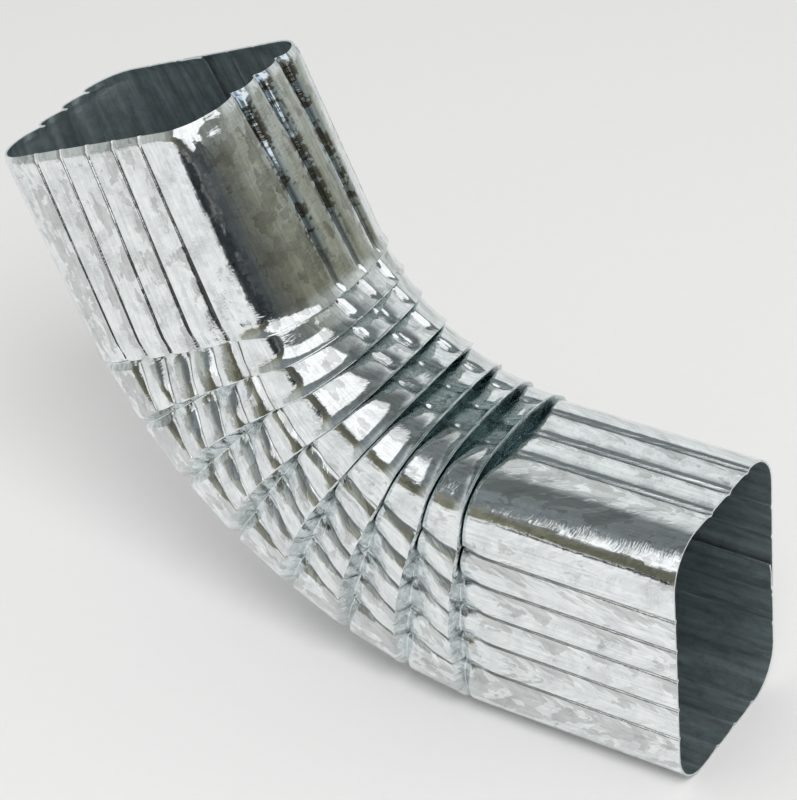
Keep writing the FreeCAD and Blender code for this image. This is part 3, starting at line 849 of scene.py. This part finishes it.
class ELBOW_OT_sheet(bpy.types.Operator):
    """Form the corrugated sheet of the elbow from a flat blank."""
    bl_idname = "elbow.sheet"
    bl_label = "Form the sheet"

    def execute(self, context):
        size = read_sizes(context.scene.elbow_sizes)
        runs = column_runs(size)
        columns = [Column(size, run).points() for run in runs]
        deselect()
        bpy.ops.mesh.primitive_grid_add(
            x_subdivisions=len(runs) - 1, y_subdivisions=len(columns[0]) - 1, size=2.0,
            location=(0, 0, 0))
        sheet = context.object
        sheet.name = "folded_sheet"
        places = self.fold(sheet.data, columns)
        self.mark(size, sheet.data, columns, runs, places)
        self.turn_out(size, sheet.data)
        self.thicken(context, sheet, size)
        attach(sheet, "root")
        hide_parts("elbow")
        return {"FINISHED"}

    def fold(self, mesh, columns):
        """Moves the blank's points to the folded shape, and gives each one's column and row."""
        wide, tall = len(columns), len(columns[0])
        if len(mesh.vertices) != wide * tall:
            raise RuntimeError("the blank has %d points, not %d by %d" % (len(mesh.vertices), wide, tall))
        places = []
        for vertex in mesh.vertices:
            column = round((vertex.co.x + 1) / 2 * (wide - 1))
            row = round((vertex.co.y + 1) / 2 * (tall - 1))
            places.append((column, row))
        for vertex, (column, row) in zip(mesh.vertices, places):
            vertex.co = columns[column][row]
        return places

    def mark(self, size, mesh, columns, runs, places):
        """Keeps each point's place on the flat blank, its depth in a fold as the weight of the painted
        shade there, and its place on its rib, which the painted shade beside the grooves follows.
        """
        along = [[0.0] for column in columns]
        for column, lengths in zip(columns, along):
            for before, after in zip(column, column[1:]):
                lengths.append(lengths[-1] + (after - before).length)
        blank = mesh.uv_layers[0]
        blank.name = "blank"
        for loop in mesh.loops:
            column, row = places[loop.vertex_index]
            blank.data[loop.index].uv = (runs[column], along[column][row])
        shares = [outline(size, run % size.whole_run)[0] / size.section_depth for run in runs]
        # Painted shade deep in the folds: weaker on the sides than on the throat.
        darkened = [between(SIDE_FOLD_SHADE, 1.0, eased(share, 0.72, 0.95)) for share in shares]
        across = [rib_place(size, run)[1] for run in runs]
        fold = mesh.attributes.new("fold", "FLOAT", "POINT")
        rib = mesh.attributes.new("rib", "FLOAT", "POINT")
        for index, (column, row) in enumerate(places):
            fold.data[index].value = fold_depth(size, row) * darkened[column]
            rib.data[index].value = across[column]
        mesh.update()

    def turn_out(self, size, mesh):
        """Turns the faces outwards, judged by one face of the inlet arm."""
        first = mesh.polygons[0]
        along = axis(size, 0)
        outward = first.center - along * first.center.dot(along)
        if first.normal.dot(outward) < 0:
            bpy.ops.object.mode_set(mode="EDIT")
            bpy.ops.mesh.select_all(action="SELECT")
            bpy.ops.mesh.flip_normals()
            bpy.ops.object.mode_set(mode="OBJECT")

    def thicken(self, context, sheet, size):
        """Gives the sheet its gauge, and its finishes outside, inside and on its edge."""
        looks = context.scene.elbow_finish
        outside = SimpleNamespace(
            zinc=looks.zinc, smooth=looks.smooth_zinc, fold_shade=looks.fold_shade, groove_reflection=looks.groove_reflection,
            # scraped sets the strength of the painted groove reflection and its dark streaks.
            groove_streak=looks.groove_streak, scraped=0.9, roughness=0.1, metallic=1.0, relief=0.35,
            line_gap=0.7, streaks=0.14)
        # The inside is a darker, bluer copy of the outer zinc: painted shade.
        inside = SimpleNamespace(
            zinc=looks.shaded_inner_zinc, smooth=looks.shaded_inner_smooth, fold_shade=looks.shaded_inner_zinc,
            scraped=0.0, roughness=0.33, metallic=0.93, relief=0.5, line_gap=2.6, streaks=0.4)
        sheet.data.materials.append(galvanised_material("galvanised_steel", outside))
        sheet.data.materials.append(galvanised_material("shaded_galvanised_steel_inside", inside))
        sheet.data.materials.append(edge_material("sheared_edge", looks.zinc))
        bpy.ops.object.modifier_add(type="SOLIDIFY")
        gauge = sheet.modifiers[-1]
        gauge.thickness = size.sheet_gauge
        gauge.offset = -1.0
        gauge.material_offset = 1
        gauge.material_offset_rim = 2
        bpy.ops.object.modifier_apply(modifier=gauge.name)
        bpy.ops.object.shade_smooth_by_angle(angle=math.radians(55))


# The stage, in metres, apart from the table's lift in mm and the lens.
FLOOR_PLACE, FLOOR_SIZE = (0.06, 0.0), 7.0
SCREEN_PLACE, SCREEN_TARGET = (0.1746, -0.1942, 0.1824), (0.06, 0.0, -0.06)
SCREEN_ROLL, SCREEN_SIZE, SCREEN_LIGHT = 0.743, (0.728, 0.314), 1.1
TABLE_PLACE, TABLE_SIZE, TABLE_LIFT = (0.245, -0.44), (0.61, 0.31), 0.4
LIGHT_PLACE, LIGHT_TARGET = (0.64, -0.5, 0.93), (0.06, 0.0, -0.14)
LIGHT_SIZE, LIGHT_POWER = 0.6, 8.2
ROOM_LIGHT = 0.7
# The camera, fitted to both rims and all crimps of the photograph.
CAMERA_PLACE = (0.4402935, -0.5103273, 0.3810748)
CAMERA_RIGHT = (0.83812744, 0.53966861, -0.07937374)
CAMERA_UP = (-0.26235727, 0.52640093, 0.80874639)
CAMERA_BACK = (0.47823745, -0.65700827, 0.58277704)
CAMERA_LENS, CAMERA_SENSOR = 137.0, 36.0


def as_stage(piece, name, material, seen=True):
    """Names a piece of the stage and finishes it. An unseen one shows only in reflections."""
    piece.name = name
    piece.data.materials.append(material)
    piece.visible_camera = seen
    piece.visible_diffuse = seen
    piece.visible_shadow = seen


def aim(piece, place, target, roll=0.0):
    """Puts a piece at a place, with its face to a target, and rolls it about that line."""
    piece.location = place
    facing = (Vector(target) - Vector(place)).to_track_quat("-Z", "Y")
    piece.rotation_euler = (facing @ Quaternion((0, 0, 1), roll)).to_euler()


class ELBOW_OT_stage(bpy.types.Operator):
    """Set the floor, the surroundings, the light and the camera."""
    bl_idname = "elbow.stage"
    bl_label = "Set the stage"

    def execute(self, context):
        low, high = cad_box
        self.floor(context, low.z)
        self.room(context, Vector(((low.x + high.x) / 2, 0, low.z)))
        self.screen(context)
        self.table(context, low.z + TABLE_LIFT * MM)
        self.light(context)
        self.world(context)
        self.camera(context)
        return {"FINISHED"}

    def floor(self, context, level):
        deselect()
        bpy.ops.mesh.primitive_plane_add(size=FLOOR_SIZE, location=(*FLOOR_PLACE, level))
        paper = paper_material("background_paper", context.scene.elbow_finish.floor)
        as_stage(context.object, "paper_floor", paper)

    def room(self, context, middle):
        """The room round the table."""
        deselect()
        bpy.ops.mesh.primitive_uv_sphere_add(
            segments=64, ring_count=32, radius=DOME_RADIUS, location=middle)
        bpy.ops.object.shade_smooth()
        as_stage(context.object, "room", room_material("room"), seen=False)

    def screen(self, context):
        """The bright screen beside the camera, which the throat mirrors in wide white bands."""
        deselect()
        bpy.ops.mesh.primitive_plane_add(size=1.0)
        aim(context.object, SCREEN_PLACE, SCREEN_TARGET, SCREEN_ROLL)
        context.object.scale = (*SCREEN_SIZE, 1)
        cloth = mirrored_material("lit_screen", "#ffffff", SCREEN_LIGHT)
        as_stage(context.object, "screen", cloth, seen=False)

    def table(self, context, level):
        """The dark table in front of the paper, which ends the bands in a sharp dark edge."""
        deselect()
        bpy.ops.mesh.primitive_plane_add(size=1.0, location=(*TABLE_PLACE, level))
        context.object.scale = (*TABLE_SIZE, 1)
        top = mirrored_material("dark_table", "#2a2f32", 1.0)
        as_stage(context.object, "dark_table", top, seen=False)

    def light(self, context):
        """A soft light overhead, a little to the right, for the floor and the shadow."""
        deselect()
        bpy.ops.object.light_add(type="AREA")
        light = context.object
        light.name = "soft_light"
        light.data.shape = "DISK"
        light.data.size = LIGHT_SIZE
        light.data.energy = LIGHT_POWER
        light.visible_glossy = False
        aim(light, LIGHT_PLACE, LIGHT_TARGET)

    def world(self, context):
        """Pale light from all round, and a plain pale background."""
        world = bpy.data.worlds.new("pale_room")
        context.scene.world = world
        world.use_nodes = True
        tree = world.node_tree
        tree.nodes.clear()
        room = add(tree, "Background", {"Color": (1, 1, 1, 1), "Strength": ROOM_LIGHT})
        seen = add(tree, "Background", {"Color": (*linear("#e6e6e4"), 1), "Strength": 1.0})
        ray = add(tree, "LightPath")
        clear = ray.outputs["Is Camera Ray"]
        for kind in ("Is Glossy Ray", "Is Transmission Ray"):
            clear = add(tree, "Math", {0: clear, 1: ray.outputs[kind]}, operation="MAXIMUM").outputs[0]
        both = add(tree, "MixShader", {0: clear, 1: room.outputs[0], 2: seen.outputs[0]})
        add(tree, "OutputWorld", {"Surface": both.outputs[0]})

    def camera(self, context):
        """A long lens from the near side, the throat and the outlet."""
        deselect()
        bpy.ops.object.camera_add()
        camera = context.object
        turned = Matrix((CAMERA_RIGHT, CAMERA_UP, CAMERA_BACK)).transposed().to_4x4()
        camera.matrix_world = Matrix.Translation(CAMERA_PLACE) @ turned
        camera.data.sensor_width = CAMERA_SENSOR
        camera.data.lens = CAMERA_LENS
        camera.data.clip_start = 0.05
        context.scene.camera = camera
        context.scene.view_settings.view_transform = "Standard"


class ELBOW_PT_panel(bpy.types.Panel):
    """Sizes, colours and steps of the elbow."""
    bl_idname = "ELBOW_PT_panel"
    bl_label = "Downspout elbow"
    bl_space_type = "VIEW_3D"
    bl_region_type = "UI"
    bl_category = "Elbow"

    def draw(self, context):
        for group in (context.scene.elbow_sizes, context.scene.elbow_finish):
            box = self.layout.box()
            for name in type(group).__annotations__:
                box.prop(group, name)
        self.layout.operator("elbow.sheet")
        self.layout.operator("elbow.stage")


CLASSES = (ElbowSizes, ElbowFinish, ELBOW_OT_sheet, ELBOW_OT_stage, ELBOW_PT_panel)


def register():
    for item in CLASSES:
        bpy.utils.register_class(item)
    bpy.types.Scene.elbow_sizes = bpy.props.PointerProperty(type=ElbowSizes)
    bpy.types.Scene.elbow_finish = bpy.props.PointerProperty(type=ElbowFinish)


def unregister():
    del bpy.types.Scene.elbow_finish
    del bpy.types.Scene.elbow_sizes
    for item in reversed(CLASSES):
        bpy.utils.unregister_class(item)


def main():
    register()
    bpy.ops.elbow.sheet()
    bpy.ops.elbow.stage()


if __name__ == "__main__":
    main()
